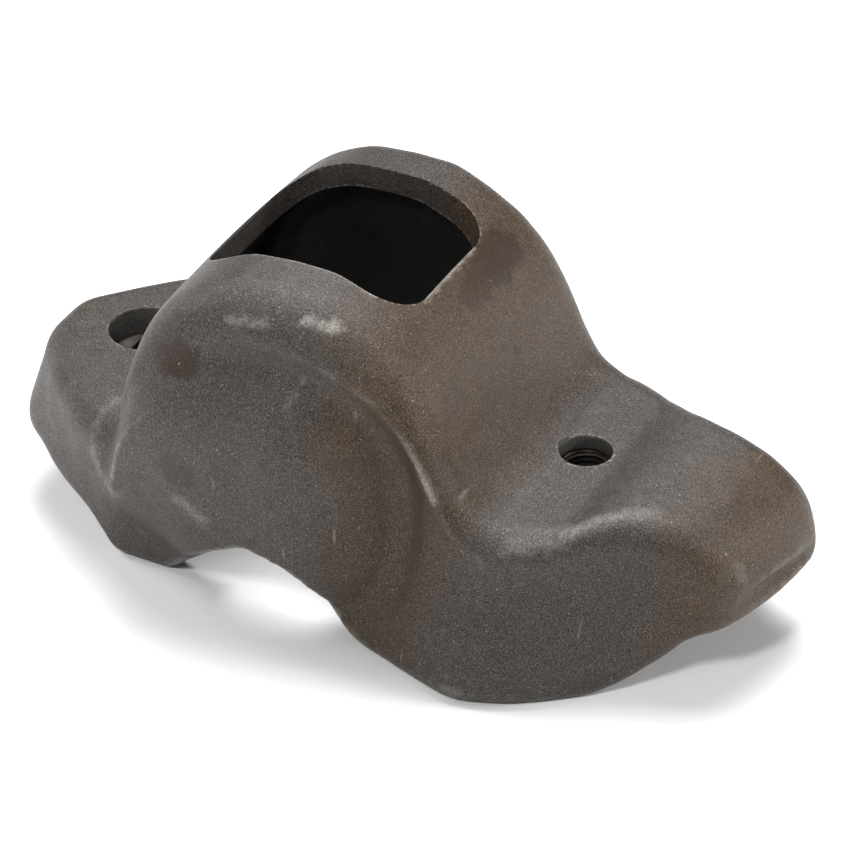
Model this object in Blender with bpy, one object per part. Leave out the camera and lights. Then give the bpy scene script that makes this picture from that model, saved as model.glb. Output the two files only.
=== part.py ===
"""Saddle wear cap of an excavator bucket tooth, with its turning lock and its threaded insert.

Metres, +Z up. +X runs from the lock bore to the lifting hole, and the cap stands on z = 0.
Lengths along X are measured from the lock bore's axis, and heights from the flange's top face,
until the pieces are placed.
"""

import math

import bmesh
import bpy
from mathutils import Matrix

# Casting: overall sizes
HOLE_SPACING = 0.160        # lock bore axis to lifting hole axis
LEFT_OVERHANG = 0.031       # lock bore axis to the left end's top edge
RIGHT_OVERHANG = 0.066      # lifting hole axis to the right end's top edge
FLANGE_THICKNESS = 0.034
SKIRT_DEPTH = 0.0575        # flange top to the feet
HALF_WIDTH = 0.058          # centre line to the hump's side wall
END_HALF_WIDTH = 0.030      # half-width of the right end block
END_RISE = 0.0045           # the right end block stands proud of the lifting hole's seat
LEFT_LEAN = 0.20            # outward lean of the left end face, run over drop
END_LEAN = 0.05             # outward lean of the right end face, run over drop
END_NOSE = 0.020            # how far the top rolls down at the right end
END_SKEW = 0.21             # how far the right end face runs on towards +Y, run over width
END_BOW = 0.004             # how far the right end face is fuller at its middle
END_DRIFT = 0.003           # shift of the right flange towards -Y
LEFT_DRIFT = 0.002          # shift of the left flange towards -Y
END_ROUND = 0.006

# Casting: hump and window
HUMP_LEFT_FOOT = 0.0165
HUMP_LEFT_RUN = 0.058
HUMP_RIGHT_RUN = 0.0775
HUMP_HEIGHT = 0.065
HUMP_WALL = 0.0095
HUMP_SIDE_WALL = 0.013
HUMP_LEFT_WALL = 0.0045     # wall at the foot of the hump's left flank
HUMP_RIGHT_WALL = 0.01805   # wall at the foot of the hump's right flank
CAVITY_REACH = 0.97         # the cavity stops at this share of its run on both sides
CAVITY_TAPER = 0.012        # how much narrower the cavity is at both its ends
CAVITY_OVERLAP = 0.004      # the cavity runs this far down into the channel
HUMP_SHOULDER = 0.016
CROWN_DROP = 0.0018
FLANGE_SHOULDER = 0.010
FOOT_ROUND = 0.005
WINDOW_LENGTH = 0.075
WINDOW_WIDTH = 0.063
WINDOW_CORNER = 0.014
WINDOW_FLOOR = 0.024        # the window's cutter starts this high, inside the cavity

# Casting: underside
CHANNEL_HALF_WIDTH = 0.040
CHANNEL_END_HALF_WIDTH = 0.022  # at the right end, where the skirts close in
CHANNEL_ROOF = 0.0005       # channel roof below the ends' underside
CHANNEL_FILLET = 0.006
SWELL = 0.011               # height of the dome on each side of the hump
SWELL_BACK = 0.0065         # the dome's centre lies this far left of the hump's crown
SWELL_DROP = 0.010          # and this far below the flange top
SWELL_LEFT = 0.060          # the dome's centre to its left rim
SWELL_RIGHT = 0.048         # the dome's centre to its right rim
SWELL_RISE = 0.050          # the dome's centre to its upper rim
SWELL_FALL = 0.037          # the dome's centre to its lower rim
SWELL_SQUARENESS = 3        # 2 is an ellipse; higher numbers are squarer
SWELL_GROOVE = 0.0048       # depth of the groove round the dome's upper rim
ARCH_HEIGHT = 0.0265        # rise of the side arch above the feet
FOOT_FLARE = 0.0095         # how far the belly's foot spreads past the side wall

# Lock
LOCK_MOUTH_R = 0.013
LOCK_BORE_R = 0.017
LOCK_LEDGE_DEPTH = 0.016
PIN_HEAD_DEPTH = 0.009
PIN_HEAD_THICKNESS = 0.0045
PIN_R = 0.010
PIN_GROOVE_DEPTH = 0.0014
CAM_LENGTH = 0.013
CAM_FLAT = 0.0015           # the cam's flat stands this far off the pin's axis
SOCKET_SQUARE = 0.0129
SOCKET_DEPTH = 0.009
SEAL_THICKNESS = 0.0015
WASHER_THICKNESS = 0.002
RING_THICKNESS = 0.0015
RING_WIDTH = 0.0036
RING_GAP_DEGREES = 40
PLUG_WIDTH = 0.005
PLUG_HEIGHT = 0.006
LOCK_TURN_DEGREES = 180
GAP = 0.0003                # clearance between pieces that touch
CUT_CLEAR = 0.04            # the channel's cutter runs this far past the ends and the feet
OVERCUT = 0.02              # other cutters run this far past the face they open

# Threaded insert
INSERT_MOUTH_R = 0.0085
INSERT_R = 0.011
INSERT_BORE_R = 0.0070
INSERT_DEPTH = 0.005
INSERT_CHAMFER = 0.001

# Mesh fineness
STATION_STEP = 0.0052
CAVITY_STEPS = 22
ARC_STEPS = 5
WALL_STEPS = 12
WALL_CROWDING = 1.25        # above 1, the wall's points crowd towards the shoulder
ROUND_SEGMENTS = 40

# Worked out from the sizes above
HUMP_CENTRE = HUMP_LEFT_FOOT + HUMP_LEFT_RUN
RIGHT_END = HOLE_SPACING + RIGHT_OVERHANG

# Height of the hump as a share of HUMP_HEIGHT, against the share of the run from its crown
HUMP_RISE = [(0, 1), (0.216, 0.985), (0.422, 0.918), (0.629, 0.785), (0.767, 0.63),
             (0.888, 0.37), (0.948, 0.13), (1, 0)]
HUMP_FALL = [(0, 1), (0.148, 0.995), (0.303, 0.94), (0.458, 0.847), (0.574, 0.717),
             (0.665, 0.556), (0.729, 0.405), (0.794, 0.235), (0.884, 0.075), (1, 0)]


def curve(points, x):
    """Value at x of the smooth curve through points that never overshoots them."""
    if x <= points[0][0]:
        return points[0][1]
    if x >= points[-1][0]:
        return points[-1][1]
    slopes = [(b[1] - a[1]) / (b[0] - a[0]) for a, b in zip(points, points[1:])]
    i = max(k for k in range(len(slopes)) if points[k][0] <= x)

    def tangent(k):
        if k == 0 or k == len(slopes):
            return slopes[min(k, len(slopes) - 1)]
        before, after = slopes[k - 1], slopes[k]
        return 0.0 if before * after <= 0 else 2 * before * after / (before + after)

    width = points[i + 1][0] - points[i][0]
    t = (x - points[i][0]) / width
    return ((2 * t ** 3 - 3 * t ** 2 + 1) * points[i][1]
            + (t ** 3 - 2 * t ** 2 + t) * width * tangent(i)
            + (3 * t ** 2 - 2 * t ** 3) * points[i + 1][1]
            + (t ** 3 - t ** 2) * width * tangent(i + 1))


def hump(x, left_run, right_run, height):
    """Height of a hump of these sizes at x."""
    if x < HUMP_CENTRE:
        return height * curve(HUMP_RISE, (HUMP_CENTRE - x) / left_run)
    return height * curve(HUMP_FALL, (x - HUMP_CENTRE) / right_run)


def top(x):
    """Height of the casting's top on the centre line."""
    step = HOLE_SPACING + 0.011
    rise = curve([(step, 0), (step + 0.017, END_RISE), (RIGHT_END - 0.028, END_RISE - 0.0005),
                  (RIGHT_END - 0.0175, END_RISE - END_NOSE * 0.12),
                  (RIGHT_END - 0.009, END_RISE - END_NOSE * 0.36),
                  (RIGHT_END - 0.003, END_RISE - END_NOSE * 0.70),
                  (RIGHT_END, END_RISE - END_NOSE)], x)
    return hump(x, HUMP_LEFT_RUN, HUMP_RIGHT_RUN, HUMP_HEIGHT) + rise


def upper_half_width(x):
    """Half-width of the side wall just under the shoulder."""
    end = END_HALF_WIDTH
    return curve([(-LEFT_OVERHANG, 0.0145), (-0.026, 0.0200), (-0.014, 0.034), (-0.002, 0.045),
                  (0.012, 0.053), (0.028, HALF_WIDTH - 0.001), (0.045, HALF_WIDTH),
                  (0.085, HALF_WIDTH), (0.110, HALF_WIDTH - 0.002),
                  (HOLE_SPACING - 0.010, HALF_WIDTH - 0.0025),
                  (HOLE_SPACING - 0.003, HALF_WIDTH - 0.004),
                  (HOLE_SPACING + 0.012, end + 0.0170), (HOLE_SPACING + 0.024, end + 0.0085),
                  (HOLE_SPACING + 0.038, end + 0.004), (RIGHT_END - 0.012, end),
                  (RIGHT_END, end - 0.002)], x)


def lower_half_width(x):
    """Half-width of the side wall at its foot."""
    end = END_HALF_WIDTH
    return curve([(-LEFT_OVERHANG, 0.020), (-0.023, 0.0285), (-0.010, 0.040),
                  (0.002, 0.046), (0.013, 0.049), (0.031, 0.0495), (0.045, 0.053), (0.085, 0.056),
                  (0.098, 0.0575), (0.113, 0.060), (0.130, 0.0645),
                  (HOLE_SPACING - 0.014, HALF_WIDTH + FOOT_FLARE),
                  (HOLE_SPACING, 0.0635), (HOLE_SPACING + 0.012, 0.0565),
                  (HOLE_SPACING + 0.025, end + 0.0165), (HOLE_SPACING + 0.039, end + 0.0095),
                  (HOLE_SPACING + 0.048, end + 0.004), (RIGHT_END - 0.012, end + 0.001),
                  (RIGHT_END, end - 0.002)], x)


def wall_swell(x, z):
    """How far the hump's side wall swells out at (x, z): a dome with a groove round its upper rim."""
    along = x - HUMP_CENTRE + SWELL_BACK
    along /= SWELL_LEFT if along < 0 else SWELL_RIGHT
    up = (z + SWELL_DROP) / (SWELL_RISE if z > -SWELL_DROP else SWELL_FALL)
    radius = (abs(along) ** SWELL_SQUARENESS + abs(up) ** SWELL_SQUARENESS) ** (1 / SWELL_SQUARENESS)
    facing = max(0.0, min(1.0, (along + up) * 0.7 / max(radius, 0.01) + 0.35))
    groove = SWELL_GROOVE * facing * math.exp(-((radius - 1.13) / 0.15) ** 2)
    return SWELL * max(0.0, 1 - radius ** SWELL_SQUARENESS) - groove


def wall_hollow(x):
    """How far the side wall is drawn in behind the hump's swell, under the flange's edge."""
    return curve([(0.080, 0), (0.108, 0.0035), (0.135, 0.003), (HOLE_SPACING, 0.001),
                  (RIGHT_END, 0)], x)


def flare(x, t):
    """Share of the way from the upper to the lower half-width at share t of the wall's height."""
    curved = curve([(-0.002, 0), (0.030, 1), (HOLE_SPACING + 0.020, 1), (HOLE_SPACING + 0.045, 0)], x)
    return t + (t * t * (3 - 2 * t) - t) * curved


def foot(x):
    """Height of the casting's underside outline: the feet, the side arch and both ends."""
    low = -SKIRT_DEPTH
    end = -FLANGE_THICKNESS
    arch = low + ARCH_HEIGHT
    return curve([(-LEFT_OVERHANG, end), (-0.018, end - 0.001), (-0.010, end - 0.005),
                  (0.0, end - 0.010), (0.007, low + 0.006), (0.014, low), (0.031, low),
                  (0.044, low + 0.0095), (0.061, arch - 0.005), (0.072, arch), (0.080, arch - 0.0015),
                  (0.088, arch - 0.0055), (0.096, low + 0.0125), (0.106, low + 0.0022), (0.116, low),
                  (HOLE_SPACING + 0.022, low), (HOLE_SPACING + 0.030, low + 0.002),
                  (HOLE_SPACING + 0.038, low + 0.0065), (HOLE_SPACING + 0.046, low + 0.0125),
                  (HOLE_SPACING + 0.052, low + 0.0185), (RIGHT_END - 0.002, end), (RIGHT_END, end)], x)


def shoulder(x):
    """Radius of the rounding between the top and the side wall."""
    return curve([(-LEFT_OVERHANG, 0.012), (0.005, 0.014), (0.030, HUMP_SHOULDER),
                  (0.105, HUMP_SHOULDER), (0.140, FLANGE_SHOULDER + 0.001),
                  (HOLE_SPACING, FLANGE_SHOULDER), (RIGHT_END, FLANGE_SHOULDER - 0.002)], x)


def crown(x):
    """Drop of the top from the centre line to the start of the shoulder."""
    return curve([(0.010, 0), (0.040, CROWN_DROP), (0.105, CROWN_DROP), (0.140, 0)], x)


def half_section(x, inset):
    """Points (y, z) of half a cross-section at x, from the top's centre to the underside's."""
    high = top(x) - inset
    low = foot(x) + inset
    upper = upper_half_width(x) - inset
    lower = lower_half_width(x) - inset
    drop = crown(x)
    deep = high - low - drop
    radius = min(shoulder(x), deep * 0.45, upper * 0.6)
    lip = min(FOOT_ROUND, deep * 0.4)
    flat = upper - radius
    points = [(flat * k / 4, high - drop * (k / 4) ** 2) for k in range(4)]
    for k in range(ARC_STEPS + 1):
        angle = math.pi / 2 * k / ARC_STEPS
        points.append((flat + radius * math.sin(angle), high - drop - radius * (1 - math.cos(angle))))
    start = high - drop - radius
    end = low + lip
    for k in range(1, WALL_STEPS + 1):
        t = (k / WALL_STEPS) ** WALL_CROWDING
        z = start + (end - start) * t
        hollow = wall_hollow(x) * math.sin(math.pi * t)
        swell = wall_swell(x, z) * min(1.0, t * 5)
        points.append((upper + (lower - upper) * flare(x, t) + swell - hollow, z))
    for k in (1, 2, 3):
        angle = math.pi / 2 * k / 3
        points.append((lower - lip * (1 - math.cos(angle)), end - lip * math.sin(angle)))
    points.append(((lower - lip) / 2, low))
    points.append((0.0, low))
    return points


def ring(half):
    """Closed ring of (y, z) from a half section."""
    return half + [(-y, z) for y, z in reversed(half[1:-1])]


def loft(name, rings):
    """Closed mesh object through rings of 3-D points, its two ends capped."""
    mesh = bmesh.new()
    loops = [[mesh.verts.new(point) for point in points] for points in rings]
    count = len(loops[0])
    for before, after in zip(loops, loops[1:]):
        for k in range(count):
            j = (k + 1) % count
            mesh.faces.new((before[k], before[j], after[j], after[k]))
    mesh.faces.new(loops[0])
    mesh.faces.new(list(reversed(loops[-1])))
    bmesh.ops.recalc_face_normals(mesh, faces=mesh.faces)
    return new_object(name, mesh)


def new_object(name, mesh):
    """Object from a bmesh, which is freed."""
    data = bpy.data.meshes.new(name)
    mesh.to_mesh(data)
    mesh.free()
    piece = bpy.data.objects.new(name, data)
    PARTS.objects.link(piece)
    return piece


def skewed(x, y, z):
    """Place of a section point: both ends lean outwards as they drop, and the right one is askew."""
    left = curve([(-LEFT_OVERHANG, 1), (0.005, 0)], x)
    right = curve([(HOLE_SPACING + 0.025, 0), (RIGHT_END, 1)], x)
    drift = curve([(-LEFT_OVERHANG, LEFT_DRIFT), (0.015, 0), (0.105, 0), (HOLE_SPACING - 0.010, END_DRIFT)], x)
    bow = END_BOW * (1 - (y / END_HALF_WIDTH) ** 2)
    forward = right * (END_LEAN * (END_RISE - z) + END_SKEW * y + bow - END_BOW / 2)
    return (x + forward + left * LEFT_LEAN * z, y - drift, z)


def casting_blank():
    """Outside of the casting as a solid, with rounded ends."""
    left = -LEFT_OVERHANG
    count = round((RIGHT_END - left) / STATION_STEP)
    stations = [left + END_ROUND + (RIGHT_END - left - 2 * END_ROUND) * k / count
                for k in range(count + 1)]
    steps = [math.pi / 2 * k / 4 for k in range(4, 0, -1)]
    rounded = [(left + END_ROUND * (1 - math.sin(a)), END_ROUND * (1 - math.cos(a))) for a in steps]
    rings = [(x, inset) for x, inset in rounded]
    rings += [(x, 0.0) for x in stations]
    rings += [(left + RIGHT_END - x, inset) for x, inset in reversed(rounded)]
    return loft("tooth_casting", [[skewed(x, y, z) for y, z in ring(half_section(x, inset))]
                                  for x, inset in rings])


def cavity_cutter():
    """Hollow under the hump, offset inwards from its outside and open at the bottom."""
    left_run = HUMP_LEFT_RUN - HUMP_LEFT_WALL
    right_run = HUMP_RIGHT_RUN - HUMP_RIGHT_WALL
    height = HUMP_HEIGHT - HUMP_WALL
    bottom = -FLANGE_THICKNESS - CAVITY_OVERLAP
    half = HALF_WIDTH - HUMP_SIDE_WALL
    radius = HUMP_SHOULDER - HUMP_WALL
    rings = []
    for k in range(CAVITY_STEPS + 1):
        angle = math.pi * k / CAVITY_STEPS
        run = left_run if angle < math.pi / 2 else right_run
        x = HUMP_CENTRE - run * math.cos(angle) * CAVITY_REACH
        high = hump(x, left_run, right_run, height)
        edge = half - CAVITY_TAPER * abs(math.cos(angle)) ** 4
        corner = min(radius, (high - bottom) * 0.4)
        section = [(0.0, high), (edge * 0.4, high)]
        for step in range(ARC_STEPS):
            turn = math.pi / 2 * step / (ARC_STEPS - 1)
            section.append((edge - corner + corner * math.sin(turn), high - corner * (1 - math.cos(turn))))
        section += [(edge, (high - corner + bottom) / 2), (edge, bottom), (edge * 0.5, bottom), (0.0, bottom)]
        rings.append([(x, y, z) for y, z in ring(section)])
    return as_cutter(loft("cavity_cutter", rings))


def as_cutter(piece):
    """Move an object to the cutters' collection and hide it from renders."""
    for group in list(piece.users_collection):
        group.objects.unlink(piece)
    CUTTERS.objects.link(piece)
    piece.hide_render = True
    piece.display_type = "WIRE"
    return piece


def box(name, low, high):
    """Box between two corners."""
    mesh = bmesh.new()
    bmesh.ops.create_cube(mesh, size=1)
    size = [b - a for a, b in zip(low, high)]
    middle = [(a + b) / 2 for a, b in zip(low, high)]
    bmesh.ops.scale(mesh, vec=size, verts=mesh.verts)
    bmesh.ops.translate(mesh, vec=middle, verts=mesh.verts)
    return new_object(name, mesh)


def vertical_edges(mesh):
    """Upright edges of a mesh."""
    return [e for e in mesh.edges if abs(e.verts[0].co.z - e.verts[1].co.z) > 1e-4
            and (e.verts[0].co.xy - e.verts[1].co.xy).length < 1e-6]


def window_cutter():
    """Upright rounded-corner prism that opens the hump's roof."""
    piece = box("window_cutter", (HUMP_CENTRE - WINDOW_LENGTH / 2, -WINDOW_WIDTH / 2, WINDOW_FLOOR),
                (HUMP_CENTRE + WINDOW_LENGTH / 2, WINDOW_WIDTH / 2, HUMP_HEIGHT + OVERCUT))
    mesh = bmesh.new()
    mesh.from_mesh(piece.data)
    bmesh.ops.bevel(mesh, geom=vertical_edges(mesh), offset=WINDOW_CORNER, affect="EDGES",
                    segments=7, profile=0.5)
    mesh.to_mesh(piece.data)
    mesh.free()
    return as_cutter(piece)


def channel_cutter():
    """Channel between the skirts, with rounded upper corners, open at both ends."""
    roof = -FLANGE_THICKNESS - CHANNEL_ROOF
    bottom = -SKIRT_DEPTH - CUT_CLEAR
    stations = [(-LEFT_OVERHANG - CUT_CLEAR, CHANNEL_HALF_WIDTH), (HOLE_SPACING - 0.002, CHANNEL_HALF_WIDTH),
                (HOLE_SPACING + 0.030, CHANNEL_END_HALF_WIDTH + 0.003),
                (RIGHT_END + CUT_CLEAR, CHANNEL_END_HALF_WIDTH)]
    rings = []
    for x, half in stations:
        section = [(0.0, roof)]
        for k in range(ARC_STEPS):
            angle = math.pi / 2 * k / (ARC_STEPS - 1)
            section.append((half - CHANNEL_FILLET * (1 - math.sin(angle)),
                            roof - CHANNEL_FILLET * (1 - math.cos(angle))))
        section += [(half, bottom), (0.0, bottom)]
        rings.append([(x, y, z) for y, z in ring(section)])
    return as_cutter(loft("channel_cutter", rings))


def cylinder(name, x, radius, low, high, segments=ROUND_SEGMENTS):
    """Upright cylinder on the centre line at x."""
    mesh = bmesh.new()
    bmesh.ops.create_cone(mesh, cap_ends=True, segments=segments, radius1=radius, radius2=radius,
                          depth=high - low, matrix=Matrix.Translation((x, 0, (low + high) / 2)))
    return new_object(name, mesh)


def turned(name, profile, x=0.0):
    """Ring turned about the upright axis at x from a closed (radius, z) profile."""
    mesh = bmesh.new()
    verts = [mesh.verts.new((radius, 0, z)) for radius, z in profile]
    edges = [mesh.edges.new((a, b)) for a, b in zip(verts, verts[1:] + verts[:1])]
    bmesh.ops.spin(mesh, geom=verts + edges, cent=(0, 0, 0), axis=(0, 0, 1), angle=2 * math.pi,
                   steps=ROUND_SEGMENTS, use_merge=True)
    bmesh.ops.remove_doubles(mesh, verts=mesh.verts, dist=1e-6)
    bmesh.ops.recalc_face_normals(mesh, faces=mesh.faces)
    bmesh.ops.translate(mesh, vec=(x, 0, 0), verts=mesh.verts)
    return new_object(name, mesh)


def cut(piece, *cutters):
    """Take each cutter away from the piece."""
    for cutter in cutters:
        step = piece.modifiers.new("cut_" + cutter.name, "BOOLEAN")
        step.operation = "DIFFERENCE"
        step.solver = "EXACT"
        step.object = cutter


def tooth_casting():
    """The casting: hump, window, two flanges, skirts, channel, lock bore and lifting hole."""
    piece = casting_blank()
    cut(piece, channel_cutter(), cavity_cutter(), window_cutter(),
        as_cutter(cylinder("lock_mouth_cutter", 0, LOCK_MOUTH_R, -SKIRT_DEPTH, HUMP_HEIGHT)),
        as_cutter(cylinder("lock_bore_cutter", 0, LOCK_BORE_R, -SKIRT_DEPTH, -LOCK_LEDGE_DEPTH)),
        as_cutter(cylinder("lifting_hole_cutter", HOLE_SPACING, INSERT_MOUTH_R, -SKIRT_DEPTH, HUMP_HEIGHT)),
        as_cutter(cylinder("insert_bore_cutter", HOLE_SPACING, INSERT_R + GAP, -SKIRT_DEPTH,
                           -INSERT_DEPTH)))
    return piece


def lock_levels():
    """Heights of the lock's stack, from the pin's head down."""
    head_top = -PIN_HEAD_DEPTH
    head_low = head_top - PIN_HEAD_THICKNESS
    seal_top = head_low - GAP
    seal_low = seal_top - SEAL_THICKNESS
    sleeve_top = min(seal_low, -LOCK_LEDGE_DEPTH) - GAP
    ring_low = -FLANGE_THICKNESS + 0.001
    ring_top = ring_low + RING_THICKNESS
    washer_low = ring_top + GAP
    washer_top = washer_low + WASHER_THICKNESS
    sleeve_low = washer_top + GAP
    return {"head_top": head_top, "head_low": head_low, "seal_top": seal_top, "seal_low": seal_low,
            "sleeve_top": sleeve_top, "sleeve_low": sleeve_low, "washer_top": washer_top,
            "washer_low": washer_low, "ring_top": ring_top, "ring_low": ring_low,
            "plug": (sleeve_top + sleeve_low) / 2, "cam_low": ring_low - 0.0015 - CAM_LENGTH}


def flat_ring(name, inner, outer, low, high, x=0.0):
    """Plain ring of rectangular section."""
    return turned(name, [(outer, high), (outer, low), (inner, low), (inner, high)], x)


def plug_box(name, inner, outer, grow):
    """Box for the stop plug, or for its pocket when it is grown."""
    middle = lock_levels()["plug"]
    half_width = PLUG_WIDTH / 2 + grow
    half_height = PLUG_HEIGHT / 2 + grow
    return box(name, (-half_width, inner, middle - half_height), (half_width, outer, middle + half_height))


def lock_sleeve():
    """Elastomer sleeve in the lock bore, with the stop plug's pocket through its wall."""
    level = lock_levels()
    piece = flat_ring("lock_sleeve", PIN_R + GAP, LOCK_BORE_R - GAP, level["sleeve_low"], level["sleeve_top"])
    cut(piece, as_cutter(plug_box("plug_pocket_cutter", 0.0, LOCK_BORE_R + 0.002, GAP)))
    return piece


def lock_stop_plug():
    """Steel plug in the sleeve whose nose runs in the pin's groove and stops its turn."""
    return plug_box("lock_stop_plug", PIN_R - PIN_GROOVE_DEPTH + GAP, LOCK_BORE_R - 2 * GAP, 0.0)


def groove_cutter():
    """Arc that cuts the pin's stop groove, as long as the lock's turn plus the plug."""
    level = lock_levels()
    half_plug = math.degrees((PLUG_WIDTH / 2 + GAP) / (PIN_R - PIN_GROOVE_DEPTH)) + 1.5
    start = math.radians(90 - LOCK_TURN_DEGREES - half_plug)
    sweep = math.radians(LOCK_TURN_DEGREES + 2 * half_plug)
    half_height = PLUG_HEIGHT / 2 + GAP
    inner = PIN_R - PIN_GROOVE_DEPTH
    outer = PIN_R + 0.002
    profile = [(outer, half_height), (outer, -half_height), (inner, -half_height), (inner, half_height)]
    return arc_solid("stop_groove_cutter", profile, level["plug"], start, sweep)


def arc_solid(name, profile, z, start, sweep):
    """Solid swept from a (radius, z) profile about the lock's axis, from start through sweep."""
    mesh = bmesh.new()
    verts = [mesh.verts.new((radius * math.cos(start), radius * math.sin(start), z + height))
             for radius, height in profile]
    face = mesh.faces.new(verts)
    steps = max(6, round(ROUND_SEGMENTS * sweep / (2 * math.pi)))
    bmesh.ops.spin(mesh, geom=[face], cent=(0, 0, 0), axis=(0, 0, 1), angle=sweep,
                   steps=steps, use_merge=False)
    bmesh.ops.recalc_face_normals(mesh, faces=mesh.faces)
    return new_object(name, mesh)


def lock_pin():
    """Turning pin: head with a square socket, shank with stop and ring grooves, half-round cam."""
    level = lock_levels()
    head = LOCK_MOUTH_R - GAP - 0.0001
    groove_r = PIN_R - PIN_GROOVE_DEPTH
    chamfer = 0.0008
    profile = [(0, level["head_top"]), (head - chamfer, level["head_top"]), (head, level["head_top"] - chamfer),
               (head, level["head_low"]), (PIN_R, level["head_low"]),
               (PIN_R, level["ring_top"] + GAP / 2), (groove_r, level["ring_top"] + GAP / 2),
               (groove_r, level["ring_low"] - GAP), (PIN_R, level["ring_low"] - GAP),
               (PIN_R, level["cam_low"] + chamfer), (PIN_R - chamfer, level["cam_low"]), (0, level["cam_low"])]
    piece = turned_solid("lock_pin", profile)
    half = SOCKET_SQUARE / 2
    socket = as_cutter(box("socket_cutter", (-half, -half, level["head_top"] - SOCKET_DEPTH),
                           (half, half, level["head_top"] + OVERCUT)))
    cam = as_cutter(box("cam_cutter", (-OVERCUT, CAM_FLAT, level["cam_low"] - OVERCUT),
                        (OVERCUT, OVERCUT, level["cam_low"] + CAM_LENGTH)))
    cut(piece, socket, cam, as_cutter(groove_cutter()))
    return piece


def turned_solid(name, profile):
    """Solid turned about the lock's axis from an open (radius, z) profile that starts and ends on it."""
    mesh = bmesh.new()
    verts = [mesh.verts.new((radius, 0, z)) for radius, z in profile]
    edges = [mesh.edges.new(pair) for pair in zip(verts, verts[1:])]
    bmesh.ops.spin(mesh, geom=verts + edges, cent=(0, 0, 0), axis=(0, 0, 1), angle=2 * math.pi,
                   steps=ROUND_SEGMENTS, use_merge=True)
    bmesh.ops.remove_doubles(mesh, verts=mesh.verts, dist=1e-6)
    bmesh.ops.dissolve_degenerate(mesh, dist=1e-7, edges=mesh.edges)
    bmesh.ops.recalc_face_normals(mesh, faces=mesh.faces)
    return new_object(name, mesh)


def lock_snap_ring():
    """Open ring in the pin's lower groove that holds the washer up."""
    level = lock_levels()
    inner = PIN_R - PIN_GROOVE_DEPTH + GAP
    gap = math.radians(RING_GAP_DEGREES)
    half = RING_THICKNESS / 2
    outer = inner + RING_WIDTH
    profile = [(outer, half), (outer, -half), (inner, -half), (inner, half)]
    middle = (level["ring_top"] + level["ring_low"]) / 2
    return arc_solid("lock_snap_ring", profile, middle, gap / 2, 2 * math.pi - gap)


def thread_insert():
    """Threaded steel bush that gives the lifting hole its thread."""
    top_face = -INSERT_DEPTH - GAP
    low = -FLANGE_THICKNESS + 0.001
    c = INSERT_CHAMFER
    profile = [(INSERT_R - c, top_face), (INSERT_R, top_face - c), (INSERT_R, low + c), (INSERT_R - c, low),
               (INSERT_BORE_R + c, low), (INSERT_BORE_R, low + c), (INSERT_BORE_R, top_face - c),
               (INSERT_BORE_R + c, top_face)]
    return turned("thread_insert", profile, HOLE_SPACING)


def finish(piece, colour, metallic, roughness):
    """Give the piece its material and its place in the part's frame."""
    material = bpy.data.materials.new(piece.name)
    material.use_nodes = True
    shader = material.node_tree.nodes["Principled BSDF"]
    shader.inputs["Base Color"].default_value = (*colour, 1)
    shader.inputs["Metallic"].default_value = metallic
    shader.inputs["Roughness"].default_value = roughness
    piece.data.materials.append(material)
    piece.data.shade_smooth()
    piece.data.set_sharp_from_angle(angle=math.radians(40))


def build():
    """Make every piece and hang it from one empty at the lock bore's flange face."""
    level = lock_levels()
    cast_brown = (0.12, 0.105, 0.092)
    steel = (0.42, 0.41, 0.40)
    rubber = (0.03, 0.03, 0.03)
    pieces = [
        (tooth_casting(), cast_brown, 0.3, 0.6),
        (lock_sleeve(), rubber, 0.0, 0.7),
        (lock_pin(), steel, 0.9, 0.4),
        (flat_ring("lock_dirt_seal", PIN_R + GAP, LOCK_MOUTH_R - GAP, level["seal_low"], level["seal_top"]),
         rubber, 0.0, 0.7),
        (lock_stop_plug(), steel, 0.9, 0.4),
        (flat_ring("lock_thrust_washer", PIN_R + GAP, LOCK_BORE_R - GAP, level["washer_low"],
                   level["washer_top"]), steel, 0.9, 0.35),
        (lock_snap_ring(), steel, 0.9, 0.35),
        (thread_insert(), steel, 0.9, 0.4),
    ]
    for piece, colour, metallic, roughness in pieces:
        finish(piece, colour, metallic, roughness)
    middle = place(pieces[0][0])
    for group in (PARTS, CUTTERS):
        for piece in group.objects:
            piece.parent = middle


def place(casting):
    """Empty that carries the model from the lock bore's frame to the middle of the casting's box."""
    xs = [vert.co.x for vert in casting.data.vertices]
    ys = [vert.co.y for vert in casting.data.vertices]
    empty = bpy.data.objects.new("lock_axis", None)
    bpy.context.scene.collection.objects.link(empty)
    empty.location = (-(min(xs) + max(xs)) / 2, -(min(ys) + max(ys)) / 2, SKIRT_DEPTH)
    return empty


for old in list(bpy.data.objects):
    bpy.data.objects.remove(old)
PARTS = bpy.data.collections.new("bucket_tooth_cap")
CUTTERS = bpy.data.collections.new("cutters")
bpy.context.scene.collection.children.link(PARTS)
bpy.context.scene.collection.children.link(CUTTERS)
build()
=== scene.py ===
"""Saddle wear cap of an excavator bucket tooth: cast skin, turning lock and threaded lifting point.

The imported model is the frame. Lengths along X are measured from the lock bore's axis and heights
from the flange's top face, as the foundry drawing of such a cap would give them.
"""

import math

import bmesh
import bpy
from mathutils import Matrix, Vector, noise


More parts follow.
